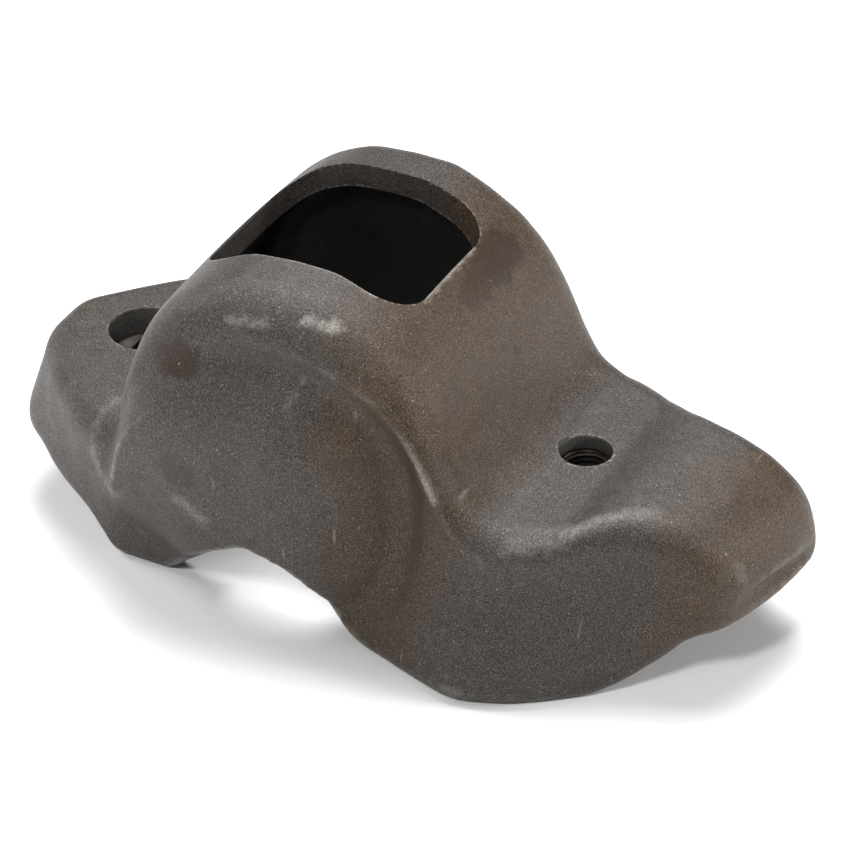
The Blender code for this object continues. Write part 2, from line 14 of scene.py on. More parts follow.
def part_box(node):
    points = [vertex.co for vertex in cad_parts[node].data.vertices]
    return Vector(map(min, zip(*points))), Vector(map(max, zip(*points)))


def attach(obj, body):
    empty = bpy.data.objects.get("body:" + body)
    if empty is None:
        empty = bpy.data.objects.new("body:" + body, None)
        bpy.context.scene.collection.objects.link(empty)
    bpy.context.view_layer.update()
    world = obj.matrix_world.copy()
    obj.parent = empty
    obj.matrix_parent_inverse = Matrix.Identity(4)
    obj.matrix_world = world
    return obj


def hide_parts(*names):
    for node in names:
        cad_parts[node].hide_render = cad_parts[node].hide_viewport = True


bl_info = {
    "name": "Bucket Tooth Wear Cap",
    "version": (1, 0, 0),
    "blender": (4, 5, 0),
    "location": "3D View > Sidebar > Wear Cap",
    "description": "Builds a cast wear cap with its turning lock and lifting insert",
    "category": "Object",
}

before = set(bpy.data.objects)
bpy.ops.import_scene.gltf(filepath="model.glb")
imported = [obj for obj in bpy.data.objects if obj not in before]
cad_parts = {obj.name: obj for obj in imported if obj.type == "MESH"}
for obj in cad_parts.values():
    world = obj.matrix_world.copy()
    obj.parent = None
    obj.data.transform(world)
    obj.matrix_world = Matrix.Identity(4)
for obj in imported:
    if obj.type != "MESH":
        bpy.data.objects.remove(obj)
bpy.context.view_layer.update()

# Where the lock's axis and the lifting hole's axis stand
SEAL_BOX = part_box("lock_dirt_seal")
LOCK_X = (SEAL_BOX[0][0] + SEAL_BOX[1][0]) / 2
LOCK_Y = (SEAL_BOX[0][1] + SEAL_BOX[1][1]) / 2

# Casting
HOLE_SPACING = 0.160
LEFT_OVERHANG = 0.031
RIGHT_OVERHANG = 0.066
FLANGE_THICKNESS = 0.034
SKIRT_DEPTH = 0.0575
HALF_WIDTH = 0.058
END_HALF_WIDTH = 0.030
END_RISE = 0.0045
LEFT_LEAN = 0.20
END_LEAN = 0.05
END_NOSE = 0.020
END_SKEW = 0.21
END_BOW = 0.004
END_DRIFT = 0.003
LEFT_DRIFT = 0.002
END_ROUND = 0.006
HUMP_CENTRE = 0.0745
HUMP_LEFT_RUN = 0.058
HUMP_RIGHT_RUN = 0.0775
HUMP_HEIGHT = 0.065
HUMP_WALL = 0.0095
HUMP_SIDE_WALL = 0.013
HUMP_RIGHT_WALL = 0.01805
HUMP_LEFT_WALL = 0.0045
HUMP_SHOULDER = 0.016
CAVITY_REACH = 0.97
CAVITY_TAPER = 0.012
CAVITY_OVERLAP = 0.004
CROWN_DROP = 0.0018
FLANGE_SHOULDER = 0.010
FOOT_ROUND = 0.005
WINDOW_LENGTH = 0.075
WINDOW_WIDTH = 0.063
WINDOW_CORNER = 0.014
WINDOW_FLOOR = 0.024
CHANNEL_HALF_WIDTH = 0.040
CHANNEL_END_HALF_WIDTH = 0.022
CHANNEL_ROOF = 0.0005
CHANNEL_FILLET = 0.006
SWELL = 0.011
SWELL_BACK = 0.0065
SWELL_DROP = 0.010
SWELL_LEFT = 0.060
SWELL_RIGHT = 0.048
SWELL_RISE = 0.050
SWELL_FALL = 0.037
SWELL_SQUARENESS = 3
SWELL_GROOVE = 0.0048
ARCH_HEIGHT = 0.0265
FOOT_FLARE = 0.0095
LOCK_MOUTH_R = 0.013
LOCK_BORE_R = 0.017
LOCK_LEDGE_DEPTH = 0.016
PIN_HEAD_DEPTH = 0.009
PIN_HEAD_THICKNESS = 0.0045
PIN_R = 0.010
PIN_GROOVE_DEPTH = 0.0014
STOP_PLAY_DEGREES = 1.5
STOP_HALF_HEIGHT = 0.0033
CAM_LENGTH = 0.013
CAM_FLAT = 0.0015
CAM_CLEAR = 0.0015
SOCKET_SQUARE = 0.0129
SOCKET_DEPTH = 0.009
SEAL_THICKNESS = 0.0015
WASHER_THICKNESS = 0.002
RING_THICKNESS = 0.0015
RING_WIDTH = 0.0036
RING_GAP_DEGREES = 40
PLUG_WIDTH = 0.005
PLUG_HEIGHT = 0.006
LOCK_TURN_DEGREES = 180
LOWER_SETBACK = 0.001
GAP = 0.0003
INSERT_MOUTH_R = 0.0085
INSERT_SEAT_R = 0.0113
INSERT_R = 0.011
INSERT_BORE_R = 0.0070
INSERT_DEPTH = 0.005
THREAD_PITCH = 0.002
THREAD_ROOT_R = 0.0080
HOLE_CHAMFER = 0.0006
RIGHT_END = HOLE_SPACING + RIGHT_OVERHANG

HUMP_RISE = [(0, 1), (0.216, 0.985), (0.422, 0.918), (0.629, 0.785), (0.767, 0.63),
             (0.888, 0.37), (0.948, 0.13), (1, 0)]
HUMP_FALL = [(0, 1), (0.148, 0.995), (0.303, 0.94), (0.458, 0.847), (0.574, 0.717),
             (0.665, 0.556), (0.729, 0.405), (0.794, 0.235), (0.884, 0.075), (1, 0)]

# Fineness of the cast skin
STATIONS = 170
ARC_STEPS = 10
WALL_STEPS = 34
CUT_CLEAR = 0.04
WINDOW_BANDS = 50
CAVITY_STEPS = 80
OVERCUT = 0.02


# ---------------------------------------------------------------- sizes and colours

def colour(name, description, value):
    """Colour field of a settings group."""
    return bpy.props.FloatVectorProperty(name=name, description=description, subtype="COLOR", size=4,
                                         default=value + (1,), min=0, max=1)


class CastingSettings(bpy.types.PropertyGroup):
    skin_cell: bpy.props.FloatProperty(
        name="Skin cell", description="Cell size of the cast skin; edges are as soft as one cell",
        default=0.0013, min=0.0009, unit="LENGTH")
    waviness: bpy.props.FloatProperty(
        name="Waviness", description="How far the cast skin wanders from its drawn shape",
        default=0.00022, min=0, unit="LENGTH")
    iron: colour("Iron", "Colour of the scale-skinned iron", (0.061, 0.051, 0.0455))
    # Darkest scale; the same colour is mixed in as painted shade on the front of the lower wall and in the
    # valley
    iron_dark_and_shade: colour("Dark scale", "Colour of the darkest scale", (0.017, 0.0137, 0.012))
    iron_pale: colour("Pale scale", "Colour of the rubbed, palest scale", (0.210, 0.190, 0.175))
    rust: colour("Rust", "Colour of the rust stains", (0.030, 0.0165, 0.010))


class LockSettings(bpy.types.PropertyGroup):
    steel: colour("Steel", "Colour of the pin's dulled steel", (0.040, 0.035, 0.030))
    rubber: colour("Rubber", "Colour of the sleeve and the dirt seal", (0.013, 0.012, 0.012))
    bush: colour("Bush steel", "Colour of the lifting thread's oiled steel", (0.028, 0.025, 0.022))


class StageSettings(bpy.types.PropertyGroup):
    azimuth: bpy.props.FloatProperty(
        name="Azimuth", description="Camera's angle round the cap", default=math.radians(26.7),
        subtype="ANGLE")
    elevation: bpy.props.FloatProperty(
        name="Elevation", description="Camera's angle above the floor", default=math.radians(34.0),
        subtype="ANGLE")
    focal_length: bpy.props.FloatProperty(
        name="Focal length", description="Camera's focal length in millimetres", default=169.4, min=10)
    floor: colour("Floor", "Colour of the floor", (0.85, 0.85, 0.85))


# ---------------------------------------------------------------- shape of the casting

def curve(points, x):
    """Value at x of the smooth curve through points that never overshoots them."""
    if x <= points[0][0]:
        return points[0][1]
    if x >= points[-1][0]:
        return points[-1][1]
    slopes = [(b[1] - a[1]) / (b[0] - a[0]) for a, b in zip(points, points[1:])]
    i = max(k for k in range(len(slopes)) if points[k][0] <= x)

    def tangent(k):
        if k == 0 or k == len(slopes):
            return slopes[min(k, len(slopes) - 1)]
        before, after = slopes[k - 1], slopes[k]
        return 0.0 if before * after <= 0 else 2 * before * after / (before + after)

    width = points[i + 1][0] - points[i][0]
    t = (x - points[i][0]) / width
    return ((2 * t ** 3 - 3 * t ** 2 + 1) * points[i][1]
            + (t ** 3 - 2 * t ** 2 + t) * width * tangent(i)
            + (3 * t ** 2 - 2 * t ** 3) * points[i + 1][1]
            + (t ** 3 - t ** 2) * width * tangent(i + 1))


def hump(x, left_run, right_run, height):
    """Height of a hump of these sizes at x."""
    if x < HUMP_CENTRE:
        return height * curve(HUMP_RISE, (HUMP_CENTRE - x) / left_run)
    return height * curve(HUMP_FALL, (x - HUMP_CENTRE) / right_run)


def top(x):
    """Height of the casting's top on the centre line."""
    step = HOLE_SPACING + 0.011
    rise = curve([(step, 0), (step + 0.017, END_RISE), (RIGHT_END - 0.028, END_RISE - 0.0005),
                  (RIGHT_END - 0.0175, END_RISE - END_NOSE * 0.12),
                  (RIGHT_END - 0.009, END_RISE - END_NOSE * 0.36),
                  (RIGHT_END - 0.003, END_RISE - END_NOSE * 0.70),
                  (RIGHT_END, END_RISE - END_NOSE)], x)
    return hump(x, HUMP_LEFT_RUN, HUMP_RIGHT_RUN, HUMP_HEIGHT) + rise


def upper_half_width(x):
    """Half-width of the side wall just under the shoulder."""
    end = END_HALF_WIDTH
    return curve([(-LEFT_OVERHANG, 0.0145), (-0.026, 0.0200), (-0.014, 0.034), (-0.002, 0.045),
                  (0.012, 0.053), (0.028, HALF_WIDTH - 0.001), (0.045, HALF_WIDTH),
                  (0.085, HALF_WIDTH), (0.110, HALF_WIDTH - 0.002),
                  (HOLE_SPACING - 0.010, HALF_WIDTH - 0.0025),
                  (HOLE_SPACING - 0.003, HALF_WIDTH - 0.004),
                  (HOLE_SPACING + 0.012, end + 0.0170), (HOLE_SPACING + 0.024, end + 0.0085),
                  (HOLE_SPACING + 0.038, end + 0.004), (RIGHT_END - 0.012, end),
                  (RIGHT_END, end - 0.002)], x)


def lower_half_width(x):
    """Half-width of the side wall at its foot."""
    end = END_HALF_WIDTH
    return curve([(-LEFT_OVERHANG, 0.020), (-0.023, 0.0285), (-0.010, 0.040),
                  (0.002, 0.046), (0.013, 0.049), (0.031, 0.0495), (0.045, 0.053), (0.085, 0.056),
                  (0.098, 0.0575), (0.113, 0.060), (0.130, 0.0645),
                  (HOLE_SPACING - 0.014, HALF_WIDTH + FOOT_FLARE),
                  (HOLE_SPACING, 0.0635), (HOLE_SPACING + 0.012, 0.0565),
                  (HOLE_SPACING + 0.025, end + 0.0165), (HOLE_SPACING + 0.039, end + 0.0095),
                  (HOLE_SPACING + 0.048, end + 0.004), (RIGHT_END - 0.012, end + 0.001),
                  (RIGHT_END, end - 0.002)], x)


def wall_swell(x, z):
    """How far the hump's side wall swells out at (x, z): a dome with a groove round its upper rim."""
    along = x - HUMP_CENTRE + SWELL_BACK
    along /= SWELL_LEFT if along < 0 else SWELL_RIGHT
    up = (z + SWELL_DROP) / (SWELL_RISE if z > -SWELL_DROP else SWELL_FALL)
    radius = (abs(along) ** SWELL_SQUARENESS + abs(up) ** SWELL_SQUARENESS) ** (1 / SWELL_SQUARENESS)
    facing = max(0.0, min(1.0, (along + up) * 0.7 / max(radius, 0.01) + 0.35))
    groove = SWELL_GROOVE * facing * math.exp(-((radius - 1.13) / 0.15) ** 2)
    return SWELL * max(0.0, 1 - radius ** SWELL_SQUARENESS) - groove


def wall_hollow(x):
    """How far the side wall is drawn in behind the hump's swell, under the flange's edge."""
    return curve([(0.080, 0), (0.108, 0.0035), (0.135, 0.003), (HOLE_SPACING, 0.001),
                  (RIGHT_END, 0)], x)


def flare(x, t):
    """Share of the way from the upper to the lower half-width at share t of the wall's height."""
    curved = curve([(-0.002, 0), (0.030, 1), (HOLE_SPACING + 0.020, 1), (HOLE_SPACING + 0.045, 0)], x)
    return t + (t * t * (3 - 2 * t) - t) * curved


def foot(x):
    """Height of the casting's underside outline: the feet, the side arch and both ends."""
    low = -SKIRT_DEPTH
    end = -FLANGE_THICKNESS
    arch = low + ARCH_HEIGHT
    return curve([(-LEFT_OVERHANG, end), (-0.018, end - 0.001), (-0.010, end - 0.005),
                  (0.0, end - 0.010), (0.007, low + 0.006), (0.014, low), (0.031, low),
                  (0.044, low + 0.0095), (0.061, arch - 0.005), (0.072, arch), (0.080, arch - 0.0015),
                  (0.088, arch - 0.0055), (0.096, low + 0.0125), (0.106, low + 0.0022), (0.116, low),
                  (HOLE_SPACING + 0.022, low), (HOLE_SPACING + 0.030, low + 0.002),
                  (HOLE_SPACING + 0.038, low + 0.0065), (HOLE_SPACING + 0.046, low + 0.0125),
                  (HOLE_SPACING + 0.052, low + 0.0185), (RIGHT_END - 0.002, end), (RIGHT_END, end)], x)


def shoulder(x):
    """Radius of the rounding between the top and the side wall."""
    return curve([(-LEFT_OVERHANG, 0.012), (0.005, 0.014), (0.030, HUMP_SHOULDER),
                  (0.105, HUMP_SHOULDER), (0.140, FLANGE_SHOULDER + 0.001),
                  (HOLE_SPACING, FLANGE_SHOULDER), (RIGHT_END, FLANGE_SHOULDER - 0.002)], x)


def crown(x):
    """Drop of the top from the centre line to the start of the shoulder."""
    return curve([(0.010, 0), (0.040, CROWN_DROP), (0.105, CROWN_DROP), (0.140, 0)], x)


def half_section(x, inset):
    """Points (y, z) of half a cross-section at x, from the top's centre to the underside's."""
    high = top(x) - inset
    low = foot(x) + inset
    upper = upper_half_width(x) - inset
    lower = lower_half_width(x) - inset
    drop = crown(x)
    deep = high - low - drop
    radius = min(shoulder(x), deep * 0.45, upper * 0.6)
    lip = min(FOOT_ROUND, deep * 0.4)
    flat = upper - radius
    points = [(flat * k / 12, high - drop * (k / 12) ** 2) for k in range(12)]
    for k in range(ARC_STEPS + 1):
        angle = math.pi / 2 * k / ARC_STEPS
        points.append((flat + radius * math.sin(angle), high - drop - radius * (1 - math.cos(angle))))
    start = high - drop - radius
    end = low + lip
    for k in range(1, WALL_STEPS + 1):
        t = k / WALL_STEPS
        z = start + (end - start) * t
        hollow = wall_hollow(x) * math.sin(math.pi * t)
        swell = wall_swell(x, z) * min(1.0, t * 5)
        points.append((upper + (lower - upper) * flare(x, t) + swell - hollow, z))
    for k in range(1, 5):
        angle = math.pi / 2 * k / 4
        points.append((lower - lip * (1 - math.cos(angle)), end - lip * math.sin(angle)))
    points += [((lower - lip) * share, low) for share in (0.8, 0.6, 0.4, 0.2, 0.0)]
    return points


def ring(half):
    """Closed ring of (y, z) from a half section."""
    return half + [(-y, z) for y, z in reversed(half[1:-1])]


def skewed(x, y, z):
    """Place of a section point: both ends lean outwards as they drop, and the right one is askew."""
    left = curve([(-LEFT_OVERHANG, 1), (0.005, 0)], x)
    right = curve([(HOLE_SPACING + 0.025, 0), (RIGHT_END, 1)], x)
    drift = curve([(-LEFT_OVERHANG, LEFT_DRIFT), (0.015, 0), (0.105, 0),
                   (HOLE_SPACING - 0.010, END_DRIFT)], x)
    bow = END_BOW * (1 - (y / END_HALF_WIDTH) ** 2)
    forward = right * (END_LEAN * (END_RISE - z) + END_SKEW * y + bow - END_BOW / 2)
    return (x + forward + left * LEFT_LEAN * z, y - drift, z)


def wrapped(name, rings):
    """Closed object: a grid wrapped round the rings, its seam merged and its two ends filled."""
    mesh = bmesh.new()
    around = len(rings[0])
    bmesh.ops.create_grid(mesh, x_segments=len(rings) - 1, y_segments=around, size=1)
    for vert in mesh.verts:
        along = round((vert.co.x + 1) / 2 * (len(rings) - 1))
        place = round((vert.co.y + 1) / 2 * around) % around
        vert.co = rings[along][place]
    bmesh.ops.remove_doubles(mesh, verts=mesh.verts, dist=1e-7)
    bmesh.ops.holes_fill(mesh, edges=[e for e in mesh.edges if e.is_boundary], sides=0)
    bmesh.ops.recalc_face_normals(mesh, faces=mesh.faces)
    return as_object(name, mesh)


def as_object(name, mesh):
    """Object from a bmesh, which is freed. It is moved to the lock's axis and the flange's height."""
    data = bpy.data.meshes.new(name)
    bmesh.ops.translate(mesh, vec=(LOCK_X, LOCK_Y, SKIRT_DEPTH), verts=mesh.verts)
    mesh.to_mesh(data)
    mesh.free()
    piece = bpy.data.objects.new(name, data)
    bpy.context.scene.collection.objects.link(piece)
    return piece


def casting_blank():
    """Outside of the casting as a solid, with rounded ends."""
    left = -LEFT_OVERHANG
    span = RIGHT_END - left - 2 * END_ROUND
    steps = [math.pi / 2 * k / 8 for k in range(8, 0, -1)]
    rounded = [(left + END_ROUND * (1 - math.sin(a)), END_ROUND * (1 - math.cos(a))) for a in steps]
    places = rounded + [(left + END_ROUND + span * k / STATIONS, 0.0) for k in range(STATIONS + 1)]
    places += [(left + RIGHT_END - x, inset) for x, inset in reversed(rounded)]
    return wrapped("cast_body", [[skewed(x, y, z) for y, z in ring(half_section(x, inset))]
                                 for x, inset in places])


def cavity_tool():
    """Hollow under the hump, offset inwards from its outside and open at the bottom."""
    left_run = HUMP_LEFT_RUN - HUMP_LEFT_WALL
    right_run = HUMP_RIGHT_RUN - HUMP_RIGHT_WALL
    height = HUMP_HEIGHT - HUMP_WALL
    bottom = -FLANGE_THICKNESS - CAVITY_OVERLAP
    half = HALF_WIDTH - HUMP_SIDE_WALL
    radius = HUMP_SHOULDER - HUMP_WALL
    rings = []
    for k in range(CAVITY_STEPS + 1):
        angle = math.pi * k / CAVITY_STEPS
        run = left_run if angle < math.pi / 2 else right_run
        x = HUMP_CENTRE - run * math.cos(angle) * CAVITY_REACH
        high = hump(x, left_run, right_run, height)
        edge = half - CAVITY_TAPER * abs(math.cos(angle)) ** 4
        corner = min(radius, (high - bottom) * 0.4)
        section = [(0.0, high), (edge * 0.4, high)]
        for step in range(ARC_STEPS):
            turn = math.pi / 2 * step / (ARC_STEPS - 1)
            section.append((edge - corner + corner * math.sin(turn),
                            high - corner * (1 - math.cos(turn))))
        section += [(edge, (high - corner + bottom) / 2), (edge, bottom), (edge * 0.5, bottom),
                    (0.0, bottom)]
        rings.append([(x, y, z) for y, z in ring(section)])
    return wrapped("cavity_tool", rings)


def channel_tool():
    """Channel between the skirts, with rounded upper corners, open at both ends."""
    roof = -FLANGE_THICKNESS - CHANNEL_ROOF
    bottom = -SKIRT_DEPTH - CUT_CLEAR
    stations = [(-LEFT_OVERHANG - CUT_CLEAR, CHANNEL_HALF_WIDTH),
                (HOLE_SPACING - 0.002, CHANNEL_HALF_WIDTH),
                (HOLE_SPACING + 0.030, CHANNEL_END_HALF_WIDTH + 0.003),
                (RIGHT_END + CUT_CLEAR, CHANNEL_END_HALF_WIDTH)]
    rings = []
    for x, half in stations:
        section = [(0.0, roof)]
        for k in range(ARC_STEPS):
            angle = math.pi / 2 * k / (ARC_STEPS - 1)
            section.append((half - CHANNEL_FILLET * (1 - math.sin(angle)),
                            roof - CHANNEL_FILLET * (1 - math.cos(angle))))
        section += [(half, bottom), (0.0, bottom)]
        rings.append([(x, y, z) for y, z in ring(section)])
    return wrapped("channel_tool", rings)


def window_tool():
    """Upright rounded-corner prism that opens the hump's roof."""
    mesh = bmesh.new()
    bmesh.ops.create_cube(mesh, size=1)
    low, high = WINDOW_FLOOR, HUMP_HEIGHT + OVERCUT
    bmesh.ops.scale(mesh, vec=(WINDOW_LENGTH, WINDOW_WIDTH, high - low), verts=mesh.verts)
    bmesh.ops.translate(mesh, vec=(HUMP_CENTRE, 0, (low + high) / 2), verts=mesh.verts)
    upright = [e for e in mesh.edges if abs(e.verts[0].co.z - e.verts[1].co.z) > 1e-4]
    bmesh.ops.bevel(mesh, geom=upright, offset=WINDOW_CORNER, affect="EDGES", segments=14,
                    profile=0.5, material=-1)
    for k in range(1, WINDOW_BANDS):
        level = low + (high - low) * k / WINDOW_BANDS
        bmesh.ops.bisect_plane(mesh, geom=mesh.verts[:] + mesh.edges[:] + mesh.faces[:],
                               plane_co=(0, 0, level), plane_no=(0, 0, 1))
    for k in range(1, WINDOW_BANDS):
        across = HUMP_CENTRE + WINDOW_LENGTH * (k / WINDOW_BANDS - 0.5)
        bmesh.ops.bisect_plane(mesh, geom=mesh.verts[:] + mesh.edges[:] + mesh.faces[:],
                               plane_co=(across, 0, 0), plane_no=(1, 0, 0))
    return as_object("window_tool", mesh)


def turned(name, profile, x=0.0, closed=True, segments=128):
    """Piece turned about the upright axis at x from a (radius, z) profile."""
    mesh = bmesh.new()
    verts = [mesh.verts.new((radius, 0, z)) for radius, z in profile]
    pairs = list(zip(verts, verts[1:]))
    if closed:
        pairs.append((verts[-1], verts[0]))
    edges = [mesh.edges.new(pair) for pair in pairs]
    bmesh.ops.spin(mesh, geom=verts + edges, cent=(0, 0, 0), axis=(0, 0, 1), angle=2 * math.pi,
                   steps=segments, use_merge=True)
    bmesh.ops.remove_doubles(mesh, verts=mesh.verts, dist=1e-6)
    bmesh.ops.dissolve_degenerate(mesh, dist=1e-7, edges=mesh.edges)
    bmesh.ops.recalc_face_normals(mesh, faces=mesh.faces)
    bmesh.ops.translate(mesh, vec=(x, 0, 0), verts=mesh.verts)
    return as_object(name, mesh)


def hole_tool(name, x, mouth, seat, ledge, chamfer):
    """Stepped hole, wider below its ledge, with a small chamfer at its mouth."""
    over = HUMP_HEIGHT
    under = -SKIRT_DEPTH - 0.01
    return turned(name, [(0, over), (mouth + chamfer, over), (mouth + chamfer, chamfer * 0.4),
                         (mouth, -chamfer), (mouth, ledge), (seat, ledge), (seat, under), (0, under)],
                  x, closed=False)


def applied(piece):
    """Replace a piece's mesh by what its modifiers make of it."""
    graph = bpy.context.evaluated_depsgraph_get()
    data = bpy.data.meshes.new_from_object(piece.evaluated_get(graph))
    piece.modifiers.clear()
    old = piece.data
    piece.data = data
    bpy.data.meshes.remove(old)


def cut(piece, tools):
    """Take each tool away from the piece, then discard the tools."""
    for tool in tools:
        step = piece.modifiers.new(tool.name, "BOOLEAN")
        step.operation = "DIFFERENCE"
        step.solver = "EXACT"
        step.object = tool
    applied(piece)
    for tool in tools:
        data = tool.data
        bpy.data.objects.remove(tool)
        bpy.data.meshes.remove(data)


def rough_skin(piece, settings):
    """Even skin of small cells over the piece, its edges softened and its faces slightly wavy."""
    skin = piece.modifiers.new("skin", "REMESH")
    skin.mode = "VOXEL"
    skin.voxel_size = settings.skin_cell
    skin.use_smooth_shade = True
    soft = piece.modifiers.new("soft_edges", "SMOOTH")
    soft.factor = 0.5
    soft.iterations = 3
    applied(piece)
    mesh = bmesh.new()
    mesh.from_mesh(piece.data)
    for vert in mesh.verts:
        wave = noise.noise(vert.co * 45) * 0.6 + noise.noise(vert.co * 130) * 0.4
        vert.co += vert.normal * (wave - 0.5) * settings.waviness
    mesh.to_mesh(piece.data)
    mesh.free()


# ---------------------------------------------------------------- shape of the lock and the insert

def lock_levels():
    """Heights of the lock's stack, from the pin's head down."""
    head_top = -PIN_HEAD_DEPTH
    head_low = head_top - PIN_HEAD_THICKNESS
    seal_top = head_low - GAP
    seal_low = seal_top - SEAL_THICKNESS
    sleeve_top = min(seal_low, -LOCK_LEDGE_DEPTH) - GAP
    ring_low = -FLANGE_THICKNESS + LOWER_SETBACK
    ring_top = ring_low + RING_THICKNESS
    washer_low = ring_top + GAP
    washer_top = washer_low + WASHER_THICKNESS
    sleeve_low = washer_top + GAP
    return {"head_top": head_top, "head_low": head_low, "seal_top": seal_top, "seal_low": seal_low,
            "sleeve_top": sleeve_top, "sleeve_low": sleeve_low, "washer_top": washer_top,
            "washer_low": washer_low, "ring_top": ring_top, "ring_low": ring_low,
            "plug": (sleeve_top + sleeve_low) / 2, "cam_low": ring_low - CAM_CLEAR - CAM_LENGTH}


def soft_ring(name, inner, outer, low, high, edge):
    """Ring of rectangular section whose four edges are rounded off."""
    profile = []
    corners = ((outer - edge, high - edge, 90), (outer - edge, low + edge, 0),
               (inner + edge, low + edge, -90), (inner + edge, high - edge, -180))
    for across, level, start in corners:
        for k in range(4):
            angle = math.radians(start - 30 * k)
            profile.append((across + edge * math.cos(angle), level + edge * math.sin(angle)))
    return turned(name, profile, segments=96)


def block(name, low, high, edge=0.0):
    """Block between two corners, its edges bevelled where an edge width is given."""
    mesh = bmesh.new()
    bmesh.ops.create_cube(mesh, size=1)
    bmesh.ops.scale(mesh, vec=[b - a for a, b in zip(low, high)], verts=mesh.verts)
    bmesh.ops.translate(mesh, vec=[(a + b) / 2 for a, b in zip(low, high)], verts=mesh.verts)
    if edge:
        bmesh.ops.bevel(mesh, geom=mesh.edges[:], offset=edge, affect="EDGES", segments=3, profile=0.5,
                        material=-1)
    return as_object(name, mesh)


def swept(name, section, level, start, sweep, steps, drop=0.0, x=0.0):
    """Solid swept from a (radius, height) section about the upright axis at x, sinking by drop in all."""
    mesh = bmesh.new()
    verts = [mesh.verts.new((radius * math.cos(start), radius * math.sin(start), level + height))
             for radius, height in section]
    face = mesh.faces.new(verts)
    bmesh.ops.spin(mesh, geom=[face], cent=(0, 0, 0), axis=(0, 0, 1), dvec=(0, 0, -drop / steps),
                   angle=sweep, steps=steps, use_merge=False)
    bmesh.ops.recalc_face_normals(mesh, faces=mesh.faces)
    bmesh.ops.translate(mesh, vec=(x, 0, 0), verts=mesh.verts)
    return as_object(name, mesh)


def turning_pin():
    """Pin with a dished head and square socket, stop and ring grooves and a half-round cam."""
    level = lock_levels()
    head = LOCK_MOUTH_R - GAP - 0.0001
    groove = PIN_R - PIN_GROOVE_DEPTH
    top, head_low, cam_low = level["head_top"], level["head_low"], level["cam_low"]
    groove_top = level["ring_top"] + GAP / 2
    groove_low = level["ring_low"] - GAP
    ease = 0.0002
    profile = [(0, top - 0.0004), (0.0098, top - 0.0004), (0.0104, top), (head - 0.0009, top),
               (head - 0.0003, top - 0.0003), (head, top - 0.0009), (head, head_low + 0.0003),
               (head - 0.0003, head_low), (PIN_R + ease, head_low), (PIN_R, head_low - ease),
               (PIN_R, groove_top + ease), (PIN_R - ease, groove_top), (groove, groove_top),
               (groove, groove_low), (PIN_R - ease, groove_low), (PIN_R, groove_low - ease),
               (PIN_R, cam_low + 0.0010), (PIN_R - 0.0004, cam_low + 0.0003),
               (PIN_R - 0.0010, cam_low), (0, cam_low)]
    piece = turned("turning_pin", profile, closed=False, segments=96)
    half = SOCKET_SQUARE / 2
    half_plug = math.degrees((PLUG_WIDTH / 2 + GAP) / groove) + STOP_PLAY_DEGREES
    outer = PIN_R + 0.002
    stop = [(outer, STOP_HALF_HEIGHT), (outer, -STOP_HALF_HEIGHT), (groove, -STOP_HALF_HEIGHT),
            (groove, STOP_HALF_HEIGHT)]
    cut(piece, [block("socket_tool", (-half, -half, top - SOCKET_DEPTH), (half, half, top + 0.01), 0.0007),
                block("cam_tool", (-OVERCUT, CAM_FLAT, cam_low - 0.01),
                      (OVERCUT, OVERCUT, cam_low + CAM_LENGTH), 0.0008),
                swept("stop_tool", stop, level["plug"], math.radians(90 - LOCK_TURN_DEGREES - half_plug),
                      math.radians(LOCK_TURN_DEGREES + 2 * half_plug), 60)])
    return piece


def rubber_sleeve():
    """Sleeve with rounded ends and the pocket that holds the stop plug."""
    level = lock_levels()
    piece = soft_ring("rubber_sleeve", PIN_R + GAP, LOCK_BORE_R - GAP, level["sleeve_low"],
                      level["sleeve_top"], 0.0008)
    half = PLUG_WIDTH / 2 + GAP
    tall = PLUG_HEIGHT / 2 + GAP
    cut(piece, [block("pocket_tool", (-half, 0, level["plug"] - tall),
                      (half, LOCK_BORE_R + 0.002, level["plug"] + tall))])
    return piece


def stop_block():
    """Stop plug with its edges eased."""
    level = lock_levels()["plug"]
    return block("stop_block", (-PLUG_WIDTH / 2, PIN_R - PIN_GROOVE_DEPTH + GAP, level - PLUG_HEIGHT / 2),
                 (PLUG_WIDTH / 2, LOCK_BORE_R - 2 * GAP, level + PLUG_HEIGHT / 2), 0.0005)


def open_ring():
    """Snap ring with eased edges and an opening."""
    level = lock_levels()
    inner = PIN_R - PIN_GROOVE_DEPTH + GAP
    outer = inner + RING_WIDTH
    half = RING_THICKNESS / 2
    ease = 0.0003
    section = [(outer, half - ease), (outer, ease - half), (outer - ease, -half), (inner + ease, -half),
               (inner, ease - half), (inner, half - ease), (inner + ease, half), (outer - ease, half)]
    gap = math.radians(RING_GAP_DEGREES)
    return swept("open_ring", section, (level["ring_top"] + level["ring_low"]) / 2, gap / 2,
                 2 * math.pi - gap, 80)


def threaded_bush():
    """Bush with a real coarse thread cut into its bore."""
    high = -INSERT_DEPTH - GAP
    low = -FLANGE_THICKNESS + LOWER_SETBACK
    ease = 0.0009
    profile = [(INSERT_R - ease, high), (INSERT_R, high - ease), (INSERT_R, low + ease),
               (INSERT_R - ease, low), (INSERT_BORE_R + ease, low), (INSERT_BORE_R, low + ease),
               (INSERT_BORE_R, high - ease), (INSERT_BORE_R + ease, high)]
    piece = turned("threaded_bush", profile, HOLE_SPACING, segments=96)
    turns = round((high - low) / THREAD_PITCH) + 2
    flank = THREAD_PITCH * 0.44
    section = [(INSERT_BORE_R - 0.0003, flank), (THREAD_ROOT_R, flank * 0.15),
               (THREAD_ROOT_R, -flank * 0.15), (INSERT_BORE_R - 0.0003, -flank)]
    cut(piece, [swept("thread_tool", section, high + THREAD_PITCH, 0.0, 2 * math.pi * turns, 40 * turns,
                      THREAD_PITCH * turns, HOLE_SPACING)])
    return piece


# ---------------------------------------------------------------- materials

